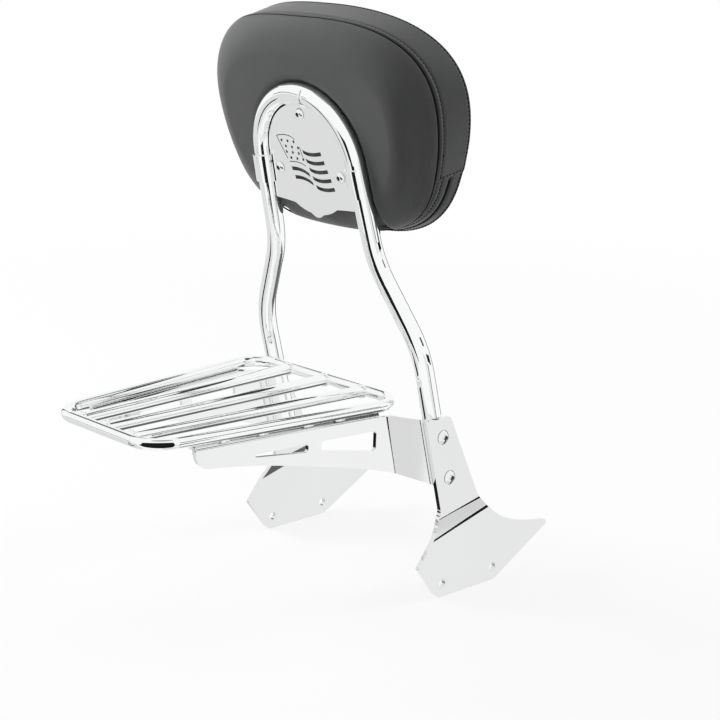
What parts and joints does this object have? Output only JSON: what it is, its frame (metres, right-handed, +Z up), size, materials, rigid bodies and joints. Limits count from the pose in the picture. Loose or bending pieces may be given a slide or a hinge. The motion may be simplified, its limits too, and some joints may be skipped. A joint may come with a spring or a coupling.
{
  "type": "sissy bar",
  "caption": "Chromed motorcycle sissy bar with a padded backrest and a luggage rack, bolted to the fender by two side plates.",
  "frame": {"origin": "point on the axis of the two rear fender bolts, halfway between the side plates", "axes": "+X to the bike's right, +Y forward, +Z up"},
  "size_m": [0.3032, 0.4512, 0.5563],
  "materials": {
    "chrome_tube": "polished chrome plate",
    "chrome_plate": "polished chrome plate",
    "chrome_screw": "chrome plate on the button heads",
    "plain_steel": "bare turned steel",
    "zinc_steel": "zinc plated",
    "black_vinyl": "grained black vinyl",
    "pad_foam": "open foam",
    "base_plastic": "moulded black plastic"
  },
  "bodies": {
    "root": {"backrest_hoop": "chrome_tube", "leg_bung_left": "plain_steel", "leg_bung_right": "plain_steel", "insert_plate": "chrome_plate", "insert_screw_top": "chrome_screw", "insert_screw_left": "chrome_screw", "insert_screw_right": "chrome_screw", "pad_cover": "black_vinyl", "pad_foam": "pad_foam", "pad_base": "base_plastic", "pad_t_nuts": "zinc_steel", "side_plate_left": "chrome_plate", "side_plate_right": "chrome_plate", "side_bolts_left": "chrome_screw", "side_bolts_right": "chrome_screw", "rack_loop": "chrome_tube", "rack_bar_left": "chrome_tube", "rack_bar_centre": "chrome_tube", "rack_bar_right": "chrome_tube", "rack_arm_left": "chrome_plate", "rack_arm_right": "chrome_plate"}
  },
  "joints": []
}
